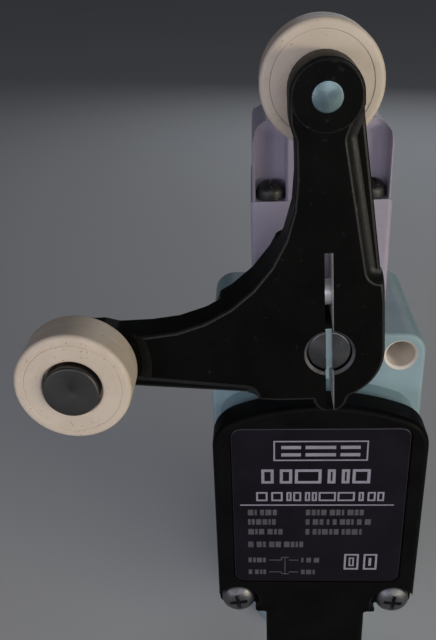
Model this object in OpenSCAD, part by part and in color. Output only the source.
// Two-circuit limit switch with a latching fork lever: two rollers on arms 90 degrees apart.
// Millimetres. X to the right, Y to the back, Z up.
// Origin: middle of the four mounting holes, on the rear face of the housing.

/* [Housing] */
// width across the mounting ears
body_w = 39.2; // [37.5:0.1:46]
// depth from the rear face to the face of the mounting ears
body_d = 29; // [26:0.5:36]
// mounting hole pitch across
mount_x = 30.2; // [28:0.1:36]
// mounting hole pitch up and down
mount_z = 58.7; // [56:0.1:71]
// mounting hole diameter, front bolts and rear tap drill
mount_d = 5.2; // [4.3:0.1:6]
// metal from a mounting hole centre to the edge of the ear
ear = 4.4; // [4:0.1:6]
// conduit thread, minor diameter
conduit_d = 18.6; // [15:0.1:20]

/* [Cover] */
// distance from the ear face to the front of the cover
cover_out = 11; // [10:0.5:14]
// thickness of the cover
lid_t = 5.5; // [4.5:0.5:7]
// radius of the upper cover corners
lid_r = 6.5; // [4:0.5:8]
// radius of the arched top edge of the cover
arch_r = 40; // [32:1:60]

/* [Head] */
// width of the head casting
head_w = 23.4; // [22.5:0.1:26]
// height of the head casting
head_h = 36.8; // [34:0.1:44]
// height of the shaft axis above the upper mounting holes
shaft_up = 12.5; // [12:0.1:15]
// shaft diameter
shaft_d = 6.8; // [6:0.1:7.4]

/* [Lever] */
// distance from the shaft axis to each roller
lever_r = 38; // [34:0.5:46]
// distance from the ear face to the front of the lever
lever_out = 21; // [21:0.5:26]
// roller diameter
roller_d = 17.5; // [15:0.1:21]
// roller width
roller_w = 7; // [5:0.1:9]
// angle at which the lever is clamped on its shaft
lever_lean = 2.2; // [-10:0.1:10]
// lift of the cam for each radian of lever travel
cam_rate = 1; // [0.5:0.1:1.2]

/* [Hidden] */
$fn = 72;
run = 0.04;                        // radial running clearance
ear_y = -body_d;
body_h = mount_z + 2 * ear;
top_z = body_h / 2;
shaft_h = mount_z / 2 + shaft_up;
front_y = -(body_d + lever_out);   // front face of the lever
lid_y = -(body_d + cover_out);     // front face of the cover
seal_t = 1;
rim_y = lid_y + lid_t + seal_t;    // front of the housing rim
lid_hw = body_w / 2 - 0.4;
lid_bot = -mount_z / 2 + 5.2;
lid_top = mount_z / 2 - 3.8;
tongue_hw = 9.8;
tongue_bot = -top_z - 1.4;
screw_x = lid_hw - 3.8;
screw_z = lid_bot + 2.4;
screw_seat = lid_y + 3;
wall = 3;
cav_hw = lid_hw - 1 - wall;
cav_top = lid_top - 7;
cav_bot = screw_z + 5.3;
cav_back = -3.5;
wire_hw = 7.6;
earth_z = cav_bot - 5;
wire_bot = -top_z + 3.8;
bore_y = -body_d / 2;
boss_len = 11;
boss_r = min(body_d / 2 - 1.2, conduit_d / 2 + 4);
gasket_t = 0.6;
head_z = top_z + gasket_t;
head_top = head_z + head_h;
head_hw = head_w / 2;
head_d = head_w - 0.4;
head_mid = ear_y + head_d / 2;
head_seat = head_top - 12.3;       // floor of the screw channels
cap_hw = head_hw - 0.3;
chan_r = 2.6;
chan_x = cap_hw - 3.05;
chan_y = head_d / 2 - 2.3;
room_hw = 8.6;
room_d = head_d - 9;
room_top = shaft_h + 9.2;
neck_r = 8;
hub_len = 9.5;
neck_y = front_y + hub_len + 0.5;
bush_r = shaft_d / 2 + 1.6;
seal_len = 3;
shaft_front = front_y + 0.7;
rear_pocket = 3.2;
cam_w = 7;
cam_s = shaft_d / 2 + 2.2;         // cam support distance at rest
cam_hub = cam_s - 0.4;
stop_d = 2.4;
stop_r = bush_r + stop_d / 2 + 0.2; // stop pin clears the bush
stop_t = 1.9;
stop_disc_r = stop_r + 1.2;
hub_r = 8.3;
end_r = 5;
arm_in = 4.3;
web_r = 20;
arm_t = 6.2;
ledge_w = 2.5;
ledge_t = 2;
slit_w = 1.2;
slit_top = 16.3;
clamp_z = 8;
clamp_y = 5;
pin_d = 4.3;
pin_head = 8.3;
pin_head_t = 2.6;
roller_gap = 0.3;
front_roller_y = -roller_w;
rear_roller_y = arm_t + 2;
passage_r = 6;
guide_r = 4.2;
guide_top = cav_top + 8;
plunger_r = 2.5;
pad_r = 4.5;
disc_y = pad_r + 0.2;              // stop disc, behind the plunger pad
pad_top = shaft_h - cam_s - 0.03;
pad_bot = pad_top - 2;
push_z = cav_top - 2;
travel = cam_rate * PI / 2;

// ---- helpers -------------------------------------------------------------------------------
// an outline drawn in X and Z, carried from y0 back to y1
module xz(y0, y1) translate([0, y1, 0]) rotate([90, 0, 0]) linear_extrude(y1 - y0) children();
// a round bar along Y
module ybar(r, y0, y1) translate([0, y1, 0]) rotate([90, 0, 0]) cylinder(r = r, h = y1 - y0);
// a round bar along X
module xbar(r, x0, x1) translate([x0, 0, 0]) rotate([0, 90, 0]) cylinder(r = r, h = x1 - x0);
// a flat outline with round corners
module rounded(x0, z0, x1, z1, r) {
  translate([x0 + r, z0]) square([x1 - x0 - 2 * r, z1 - z0]);
  translate([x0, z0 + r]) square([x1 - x0, z1 - z0 - 2 * r]);
  for (x = [x0 + r, x1 - r]) for (z = [z0 + r, z1 - r]) translate([x, z]) circle(r);
}
module box(x0, y0, z0, x1, y1, z1) translate([x0, y0, z0]) cube([x1 - x0, y1 - y0, z1 - z0]);
// children placed in the lever's own frame: y = 0 on its front face
module at_lever() translate([0, front_y, shaft_h]) rotate([0, -lever_lean, 0]) children();
module at_shaft() translate([0, 0, shaft_h]) children();
// a coil spring along Z, from z0 up to z1
module coil(r, wire, z0, z1, turns) {
  per = 24;
  sides = 8;
  n = turns * per;
  function ring(i) = [for (k = [0:sides - 1]) let (a = 360 * i / per, b = 360 * k / sides,
    q = r + wire * cos(b)) [q * cos(a), q * sin(a),
    z0 + wire + (z1 - z0 - 2 * wire) * i / n + wire * sin(b)]];
  pts = [for (i = [0:n]) each ring(i)];
  walls = [for (i = [0:n - 1], k = [0:sides - 1]) let (a = i * sides + k,
    b = i * sides + (k + 1) % sides) [a, a + sides, b + sides, b]];
  first = [for (k = [0:sides - 1]) k];
  last = [for (k = [sides - 1:-1:0]) n * sides + k];
  polyhedron(pts, concat(walls, [first, last]));
}
// a pan or cheese head screw along Z, head seat at z = 0, point downwards
module screw(head, head_t, shank, len, slot) {
  difference() {
    union() {
      cylinder(r = head, h = head_t);
      translate([0, 0, -len]) cylinder(r = shank, h = len + 0.1);
    }
    for (a = [0, 90]) rotate([0, 0, a])
      box(-head * 0.62, -slot / 2, head_t * 0.45, head * 0.62, slot / 2, head_t + 1);
  }
}
module hexagon(across, h) cylinder(r = across / sqrt(3), h = h, $fn = 6);

// ---- outlines ------------------------------------------------------------------------------
arch_c = lid_top - arch_r;
corner_x = lid_hw - lid_r;
corner_z = arch_c + sqrt(pow(arch_r - lid_r, 2) - corner_x * corner_x);
// the cover outline, drawn smaller by the inset
module lid_outline(inset = 0) {
  w = lid_hw - inset;
  lean = atan2(corner_z - arch_c, corner_x);
  reach = arch_r * 1.1;
  intersection() {
    translate([0, arch_c]) circle(arch_r - inset, $fn = 144);
    polygon([[0, arch_c], [reach * cos(lean), arch_c + reach * sin(lean)],
      [0, arch_c + 2 * reach], [-reach * cos(lean), arch_c + reach * sin(lean)]]);
  }
  for (s = [-1, 1]) translate([s * corner_x, corner_z]) circle(lid_r - inset);
  translate([-w, lid_bot + inset]) square([2 * w, corner_z - lid_bot - inset]);
  polygon([[-corner_x, corner_z - 1], [corner_x, corner_z - 1], [corner_x, corner_z],
    [0, arch_c + (arch_r - inset) * 0.9], [-corner_x, corner_z]]);
  translate([-tongue_hw + inset, tongue_bot + inset])
    square([2 * (tongue_hw - inset), lid_bot - tongue_bot + 1]);
}
module lid_lugs(r) for (s = [-1, 1]) translate([s * screw_x, screw_z]) circle(r);
module cavity_outline() {
  rounded(-cav_hw, cav_bot, cav_hw, cav_top, 3);
  translate([-wire_hw, wire_bot]) square([2 * wire_hw, cav_bot - wire_bot + 4]);
}
// the whole lever outline: hub, two arms and the hollow web between them
module lever_outline() {
  circle(hub_r);
  translate([0, lever_r]) circle(end_r);
  translate([-lever_r, 0]) circle(end_r);
  translate([0, -hub_r + 0.4]) circle(2.7);
  difference() {
    union() {
      polygon([[0, 0], [hub_r, 0], [hub_r - 0.2, hub_r], [end_r, lever_r], [-arm_in, lever_r],
        [-arm_in, 0]]);
      polygon([[0, 0], [0, -hub_r], [-hub_r, -hub_r + 0.2], [-lever_r, -end_r],
        [-lever_r, arm_in], [0, arm_in]]);
      translate([-arm_in - web_r, 0]) square([arm_in + web_r, arm_in + web_r]);
    }
    translate([-arm_in - web_r, arm_in + web_r]) circle(web_r, $fn = 144);
  }
}
// the stepped-back strip along the outer edge of the upright arm
module ledge_strip() {
  reach = lever_r - end_r - 1;
  polygon([[hub_r + 3, 11], [hub_r - 2.6, 11], [hub_r - 3.3, 12.2],
    [end_r - ledge_w + 0.3, reach], [end_r - ledge_w + 1.4, lever_r - 3],
    [end_r + 3, lever_r - 1]]);
}

// ---- housing and cover ---------------------------------------------------------------------
module housing() color([0.62, 0.64, 0.66]) difference() {
  union() {
    xz(ear_y, 0) rounded(-body_w / 2, -top_z, body_w / 2, top_z, ear - 0.4);
    xz(rim_y, ear_y + 1) {
      lid_outline(1);
      lid_lugs(3.2);
    }
    translate([0, bore_y, -top_z - boss_len]) cylinder(r = boss_r, h = boss_len + 2);
  }
  xz(rim_y - 1, cav_back) cavity_outline();
  translate([0, bore_y, -top_z - boss_len - 1])
    cylinder(r = conduit_d / 2, h = wire_bot + top_z + boss_len + 1);
  for (x = [-1, 1]) for (z = [-1, 1]) translate([x * mount_x / 2, 0, z * mount_z / 2])
    ybar(mount_d / 2, ear_y - 9, 1);
  for (s = [-1, 1]) translate([s * screw_x, 0, screw_z]) ybar(2.02, rim_y - 1, rim_y + 9);
  for (x = [-1, 1]) for (y = [-1, 1]) translate([x * chan_x, head_mid + y * chan_y, top_z - 10])
    cylinder(r = 1.52, h = 11);
  translate([0, head_mid, cav_top - 1]) cylinder(r = guide_r, h = 30);
  translate([0, head_mid, guide_top]) cylinder(r = passage_r, h = 30);
  // relief for a stop disc that would reach the top face
  translate([0, 0, shaft_h]) ybar(stop_disc_r + 0.4, head_mid + disc_y - 0.3, head_mid + disc_y + stop_t + 0.3);
  for (s = [-1, 1]) translate([s * 10, 0, cav_bot + 3.2]) ybar(1.52, cav_back - 1, -0.8);
  translate([0, 0, earth_z]) ybar(1.52, cav_back - 1, -0.8);
}
module cover() color([0.06, 0.06, 0.065]) difference() {
  union() {
    xz(lid_y, rim_y - seal_t) lid_outline();
    xz(screw_seat, rim_y - seal_t) lid_lugs(3.2);
  }
  xz(lid_y + 2.4, rim_y) offset_cavity();
  xz(lid_y - 1, lid_y + 0.6) plate_outline(0);
  for (s = [-1, 1]) translate([s * screw_x, 0, screw_z]) {
    ybar(4.2, lid_y - 1, screw_seat);
    ybar(2.2, lid_y - 1, rim_y);
    scale([s, 1, 1]) box(0, lid_y - 1, -9, 9, screw_seat, 0);
  }
}
module offset_cavity() rounded(-cav_hw + 1, cav_bot + 1, cav_hw - 1, cav_top - 1, 2.5);
module plate_outline(gap)
  rounded(-lid_hw + 3.2 + gap, screw_z + 6.2 + gap, lid_hw - 3.2 - gap, lid_top - 4.5 - gap,
    1.9 - gap);
module cover_gasket() color([0.1, 0.1, 0.1]) difference() {
  xz(rim_y - seal_t, rim_y) {
    lid_outline(1.2);
    lid_lugs(3);
  }
  xz(rim_y - 3, rim_y + 1) cavity_outline();
  for (s = [-1, 1]) translate([s * screw_x, 0, screw_z]) ybar(2.2, rim_y - 3, rim_y + 1);
}
module cover_screws() color([0.7, 0.7, 0.72]) for (s = [-1, 1])
  translate([s * screw_x, screw_seat, screw_z]) rotate([90, 0, 0])
    screw(3.3, 2.4, 1.98, rim_y + 8 - screw_seat, 0.9);
module nameplate() color([0.09, 0.085, 0.11]) xz(lid_y + 0.15, lid_y + 0.6) plate_outline(0.15);

// ---- head ----------------------------------------------------------------------------------
module head() color([0.66, 0.66, 0.7]) difference() {
  union() {
    box(-head_hw, ear_y, head_z, head_hw, ear_y + head_d, head_seat);
    xz(ear_y, ear_y + head_d) {
      rounded(-cap_hw, head_seat - 8, cap_hw, head_top, 3);
    }
    at_shaft() ybar(neck_r, neck_y, ear_y + 0.3);
  }
  for (x = [-1, 1]) for (y = [-1, 1]) translate([x * chan_x, head_mid + y * chan_y, 0]) {
    translate([0, 0, head_seat]) cylinder(r = chan_r, h = 20);
    translate([0, 0, head_z - 1]) cylinder(r = 1.65, h = head_h);
    translate([-2.5, y > 0 ? 0 : -5, head_seat]) cube([5, 5, 20]);
  }
  box(-room_hw, head_mid - room_d / 2, head_z - 1, room_hw, head_mid + room_d / 2, room_top);
  at_shaft() {
    ybar(bush_r + 1.4, neck_y - 1, neck_y + seal_len);
    ybar(bush_r, neck_y - 1, head_mid);
    ybar(bush_r, head_mid, head_mid + room_d / 2 + rear_pocket - 0.4);
    translate([0, 0, stop_r]) ybar(stop_d / 2, head_mid, head_mid + room_d / 2 + 2.8);
  }
}
module head_gasket() color([0.12, 0.12, 0.12]) difference() {
  box(-head_hw + 0.4, ear_y + 0.4, top_z, head_hw - 0.4, ear_y + head_d - 0.4, head_z);
  box(-room_hw, head_mid - room_d / 2, top_z - 1, room_hw, head_mid + room_d / 2, head_z + 1);
  for (x = [-1, 1]) for (y = [-1, 1]) translate([x * chan_x, head_mid + y * chan_y, top_z - 1])
    cylinder(r = 1.65, h = 3);
}
module head_screws() color([0.35, 0.35, 0.37]) for (x = [-1, 1]) for (y = [-1, 1])
  translate([x * chan_x, head_mid + y * chan_y, head_seat])
    screw(2.35, 2.9, 1.48, head_seat - top_z + 8, 0.8);
module front_bush() color([0.72, 0.6, 0.32]) at_shaft() difference() {
  ybar(bush_r, neck_y + seal_len, head_mid - room_d / 2 - 0.1);
  ybar(shaft_d / 2 + run, neck_y, head_mid);
}
module rear_bush() color([0.72, 0.6, 0.32]) at_shaft() difference() {
  ybar(bush_r, head_mid + room_d / 2 + 0.1, head_mid + room_d / 2 + rear_pocket - 0.4);
  ybar(shaft_d / 2 + run, head_mid, head_mid + head_d);
}
module shaft_seal() color([0.05, 0.05, 0.05]) at_shaft() difference() {
  ybar(bush_r + 1.4, neck_y + 0.3, neck_y + seal_len);
  ybar(shaft_d / 2 + run, neck_y - 1, neck_y + seal_len + 1);
}
module stop_pin() color([0.6, 0.6, 0.62]) at_shaft() translate([0, 0, stop_r])
  ybar(stop_d / 2 - 0.02, head_mid + disc_y + 0.3, head_mid + room_d / 2 + 2.7);

// ---- plunger -------------------------------------------------------------------------------
module plunger_guide() color([0.72, 0.6, 0.32]) translate([0, head_mid, 0]) difference() {
  translate([0, 0, cav_top]) cylinder(r = guide_r, h = guide_top - cav_top);
  translate([0, 0, cav_top - 1]) cylinder(r = plunger_r + run, h = 20);
}
module plunger_spring() color([0.75, 0.75, 0.77]) translate([0, head_mid, 0])
  coil(3.6, 0.35, guide_top + 0.02, pad_bot - 0.02, 4);
module plunger() color([0.7, 0.7, 0.72]) translate([0, head_mid, 0]) {
  translate([0, 0, pad_bot]) cylinder(r = pad_r, h = pad_top - pad_bot);
  translate([0, 0, push_z + 1.2]) cylinder(r = plunger_r, h = pad_bot - push_z - 1.1);
}
module plunger_seal() color([0.05, 0.05, 0.05]) translate([0, head_mid, push_z])
  cylinder(r = plunger_r + 0.9, h = 1.2);

// ---- built-in switch -----------------------------------------------------------------------
sw_hw = cav_hw - 1.6;
sw_bot = cav_bot + 1;
sw_top = push_z - 2.4;
sw_back = cav_back - 0.02;
sw_mid = head_mid + 1;
sw_front = head_mid - 6;
carrier_hw = 3;
carrier_top = push_z - 0.05;
gap_z = sw_top - 9;
blade_z = [gap_z, gap_z - 9];
bar_top = -1.28 - travel;          // fixed terminals, below each moving blade
bar_t = 0.7;
term_x = sw_hw - 4.4;
module switch_room() {
  box(-carrier_hw - 0.3, sw_front + 2, sw_bot + 2.5, carrier_hw + 0.3, head_mid + 5, sw_top + 1);
  for (z = blade_z) box(-term_x - 2, sw_front + 2, z + bar_top - bar_t - 0.05, term_x + 2,
    head_mid + 3.5, z + 1.6);
}
module switch_base() color([0.16, 0.1, 0.07]) difference() {
  box(-sw_hw, sw_mid, sw_bot, sw_hw, sw_back, sw_top);
  switch_room();
  for (s = [-1, 1]) translate([s * 10, 0, cav_bot + 3.2]) ybar(1.6, sw_mid - 1, 1);
}
module switch_case() color([0.75, 0.72, 0.62]) difference() {
  box(-sw_hw, sw_front, sw_bot, sw_hw, sw_mid, sw_top);
  switch_room();
  for (s = [-1, 1]) translate([s * 10, 0, cav_bot + 3.2]) {
    ybar(1.6, sw_front - 1, sw_mid + 1);
    ybar(3, sw_front - 1, sw_front + 2.4);
  }
  for (s = [-1, 1]) for (z = blade_z)
    box(s * term_x - 1.55, sw_front - 1, z + bar_top - bar_t - 0.05, s * term_x + 1.55, sw_front + 3,
      z + bar_top + 0.05);
}
module switch_screws() color([0.7, 0.7, 0.72]) for (s = [-1, 1])
  translate([s * 10, sw_front + 2.4, cav_bot + 3.2]) rotate([90, 0, 0])
    screw(2.7, 1.8, 1.48, -1.2 - sw_front - 2.4, 0.8);
module terminals() color([0.8, 0.68, 0.35]) for (s = [-1, 1]) for (z = blade_z)
  translate([s * term_x, 0, z]) {
    difference() {
      box(-1.5, sw_front - 0.9, bar_top - bar_t, 1.5, head_mid + 2, bar_top);
      translate([0, head_mid, -6]) cylinder(r = 0.7, h = 6);
    }
    difference() {
      box(-3, sw_front - 0.9, bar_top - bar_t, 3, sw_front - 0.02, 3.4);
      translate([0, 0, 0.4]) ybar(1.55, sw_front - 2, sw_front + 1);
    }
  }
module terminal_screws() color([0.7, 0.7, 0.72]) for (s = [-1, 1]) for (z = blade_z)
  translate([s * term_x, sw_front - 0.92, z + 0.4]) rotate([90, 0, 0])
    screw(2.5, 1.7, 1.5, 0.86, 0.8);
module fixed_contacts() color([0.85, 0.85, 0.86]) for (s = [-1, 1]) for (z = blade_z)
  translate([s * term_x, head_mid, z + bar_top]) {
    cylinder(r = 1.3, h = 0.5);
    translate([0, 0, -bar_t]) cylinder(r = 0.68, h = bar_t + 0.1);
  }
module earth_screw() color([0.75, 0.68, 0.3]) translate([0, cav_back - 0.05, earth_z])
  rotate([90, 0, 0]) screw(2.6, 1.8, 1.48, 2.4, 0.8);
module contact_carrier() color([0.55, 0.1, 0.08]) difference() {
  union() {
    box(-carrier_hw, head_mid - 3, blade_z[1] - 2.2, carrier_hw, head_mid + 3, sw_top - 3);
    translate([0, head_mid, sw_top - 3.1]) cylinder(r = 1.9, h = carrier_top - sw_top + 3.1);
  }
  for (z = blade_z) box(-carrier_hw - 1, head_mid - 1.6, z - 0.42, carrier_hw + 1, head_mid + 1.6,
    z + 1.2);
}
module moving_contacts() color([0.8, 0.68, 0.35]) for (z = blade_z) translate([0, head_mid, z]) {
  box(-term_x - 1.4, -1.5, -0.4, term_x + 1.4, 1.5, 0);
  for (s = [-1, 1]) translate([s * term_x, 0, -0.7]) cylinder(r = 1.2, h = 0.35);
}
module carrier_spring() color([0.75, 0.75, 0.77]) translate([0, head_mid, 0])
  coil(1.9, 0.25, sw_bot + 2.52, blade_z[1] - 2.24, 4);

// ---- lever and rotor -----------------------------------------------------------------------
module fork_lever() color([0.045, 0.045, 0.05]) at_lever() difference() {
  union() {
    xz(0, arm_t) lever_outline();
    ybar(hub_r, 0, hub_len);
    translate([0, 0, lever_r]) ybar(end_r - 0.2, -0.5, arm_t + 1.4);
    translate([-lever_r, 0, 0]) ybar(end_r, 0, arm_t + 0.8);
    xz(arm_t - 0.1, hub_len) intersection() {
      lever_outline();
      circle(slit_top + 1.5);
    }
  }
  xz(-1, ledge_t) {
    ledge_strip();
    mirror([1, 1]) ledge_strip();
  }
  translate([-lever_r, 0, 0]) difference() {
    ybar(roller_d / 2 + 1, -2, 1);
    ybar(end_r - 0.5, -3, 3);
  }
  translate([-lever_r, 0, 0]) ybar(end_r - 0.4, -2, roller_gap);
  ybar(shaft_d / 2 + 0.02, -1, hub_len + 1);
  translate([0, 0, 0]) rotate([90, 0, 0]) cylinder(r1 = shaft_d / 2, r2 = shaft_d / 2 + 0.8, h = 0.8,
    center = true);
  box(-slit_w / 2, -1, -hub_r * 2, slit_w / 2, hub_len + 1, slit_top);
  translate([0, clamp_y, clamp_z]) {
    xbar(2.15, -4, hub_r + 6);
    xbar(2.01, -7, 1);
    xbar(3.75, hub_r - 3.9, hub_r + 6);
  }
  translate([0, 0, lever_r]) ybar(pin_d / 2 + 0.01, -2, arm_t + 3);
  translate([-lever_r, 0, 0]) ybar(pin_d / 2 + 0.01, -2, arm_t + 3);
}
module shaft() color([0.68, 0.7, 0.73]) at_shaft() difference() {
  union() {
    ybar(shaft_d / 2, shaft_front + 0.4, head_mid + room_d / 2 + rear_pocket - 0.6);
    translate([0, shaft_front + 0.4, 0]) rotate([90, 0, 0])
      cylinder(r1 = shaft_d / 2, r2 = shaft_d / 2 - 0.4, h = 0.4);
  }
  box(-0.5, shaft_front - 1, -shaft_d, 0.5, shaft_front + 0.9, shaft_d);
  translate([0, head_mid, 0]) xbar(1.02, -shaft_d, shaft_d);
  difference() {
    ybar(shaft_d, head_mid - cam_w / 2 - 1.4, head_mid - cam_w / 2 - 0.6);
    ybar(shaft_d / 2 - 0.7, head_mid - cam_w, head_mid);
  }
}
module clamp_bolt() color([0.3, 0.3, 0.32]) at_lever() translate([0, clamp_y, clamp_z])
  difference() {
    union() {
      xbar(1.98, -6.6, hub_r - 3.8);
      xbar(3.5, hub_r - 3.9, hub_r);
    }
    translate([hub_r - 2.2, 0, 0]) rotate([0, 90, 0]) hexagon(3, 4);
  }
// cam flat-follower profile: the distance to its tangent grows evenly with the angle
function cam_point(a) = let (h = cam_s + cam_rate * (a + 90) * PI / 180)
  [h * cos(a) - cam_rate * sin(a), h * sin(a) + cam_rate * cos(a)];
module cam() color([0.6, 0.6, 0.62]) at_shaft() difference() {
  union() {
    xz(head_mid - cam_w / 2, head_mid + cam_w / 2) {
      circle(cam_hub);
      polygon(concat([[0, 0]], [for (a = [-100:2.5:10]) cam_point(a)]));
    }
    difference() {
      union() {
        ybar(cam_hub, head_mid, head_mid + disc_y);
        ybar(stop_disc_r, head_mid + disc_y, head_mid + disc_y + stop_t);
      }
      xz(head_mid + disc_y, head_mid + 20) difference() {
        stop_sector();
        circle(stop_r - stop_d / 2 - 0.25);
      }
    }
  }
  ybar(shaft_d / 2 + 0.01, head_mid - 10, head_mid + 10);
  translate([0, head_mid, 0]) xbar(1.02, -12, 12);
}
// the quarter turn the fixed stop pin can reach inside the stop disc
module stop_sector() {
  edge = asin((stop_d / 2 + 0.03) / stop_r);
  far = 20;
  polygon([[0, 0], [far * cos(90 - edge), far * sin(90 - edge)], [-far, far],
    [far * cos(180 + edge), far * sin(180 + edge)]]);
}
module cam_pin() color([0.5, 0.5, 0.52]) translate([0, head_mid, shaft_h])
  xbar(1, -cam_hub + 0.2, cam_hub - 0.2);
module shaft_clip() color([0.4, 0.4, 0.42]) at_shaft() difference() {
  ybar(shaft_d / 2 + 1.3, head_mid - cam_w / 2 - 1.35, head_mid - cam_w / 2 - 0.65);
  ybar(shaft_d / 2 - 0.68, head_mid - cam_w, head_mid);
  box(-1.4, head_mid - cam_w, 0, 1.4, head_mid, shaft_d * 2);
}
module front_roller_pin() color([0.55, 0.56, 0.58]) at_lever() translate([-lever_r, 0, 0]) {
  ybar(pin_head / 2, front_roller_y - 1.1, front_roller_y + pin_head_t - 1.1);
  ybar(pin_d / 2, front_roller_y, arm_t + 1.2);
}
module rear_roller_pin() color([0.66, 0.7, 0.74]) at_lever() translate([0, 0, lever_r]) {
  ybar(pin_head / 2, rear_roller_y + roller_w - pin_head_t + 1.1, rear_roller_y + roller_w + 1.1);
  ybar(pin_d / 2, -0.6, rear_roller_y + roller_w);
}
module roller_body(y0, head_side) difference() {
  union() {
    ybar(roller_d / 2, y0 + 0.5, y0 + roller_w - 0.5);
    translate([0, y0 + 0.5, 0]) rotate([90, 0, 0])
      cylinder(r1 = roller_d / 2, r2 = roller_d / 2 - 0.5, h = 0.5);
    translate([0, y0 + roller_w, 0]) rotate([90, 0, 0])
      cylinder(r1 = roller_d / 2 - 0.5, r2 = roller_d / 2, h = 0.5);
  }
  ybar(pin_d / 2 + run + 0.02, y0 - 1, y0 + roller_w + 1);
  if (head_side < 0) ybar(pin_head / 2 + 0.35, y0 - 1, y0 + pin_head_t - 0.9);
  if (head_side > 0) ybar(pin_head / 2 + 0.35, y0 + roller_w - pin_head_t + 0.9, y0 + roller_w + 1);
}
module front_roller() color([0.86, 0.82, 0.73]) at_lever() translate([-lever_r, 0, 0])
  roller_body(front_roller_y, -1);
module rear_roller() color([0.86, 0.82, 0.73]) at_lever() translate([0, 0, lever_r])
  roller_body(rear_roller_y, 1);
module front_washer() color([0.7, 0.7, 0.72]) at_lever() translate([-lever_r, 0, 0]) difference() {
  ybar(4, 0.06, roller_gap);
  ybar(pin_d / 2 + 0.02, -1, 1);
}
module rear_washer() color([0.7, 0.7, 0.72]) at_lever() translate([0, 0, lever_r]) difference() {
  ybar(4, arm_t + 1.4, rear_roller_y - 0.06);
  ybar(pin_d / 2 + 0.02, 0, 20);
}

// ---- choice of node ------------------------------------------------------------------------
housing();
cover();
cover_gasket();
cover_screws();
nameplate();
head();
head_gasket();
head_screws();
front_bush();
rear_bush();
shaft_seal();
stop_pin();
plunger_guide();
plunger_spring();
switch_base();
switch_case();
switch_screws();
terminals();
terminal_screws();
fixed_contacts();
earth_screw();
carrier_spring();
fork_lever();
shaft();
clamp_bolt();
cam();
cam_pin();
shaft_clip();
front_roller_pin();
rear_roller_pin();
front_washer();
rear_washer();
front_roller();
rear_roller();
plunger();
plunger_seal();
contact_carrier();
moving_contacts();
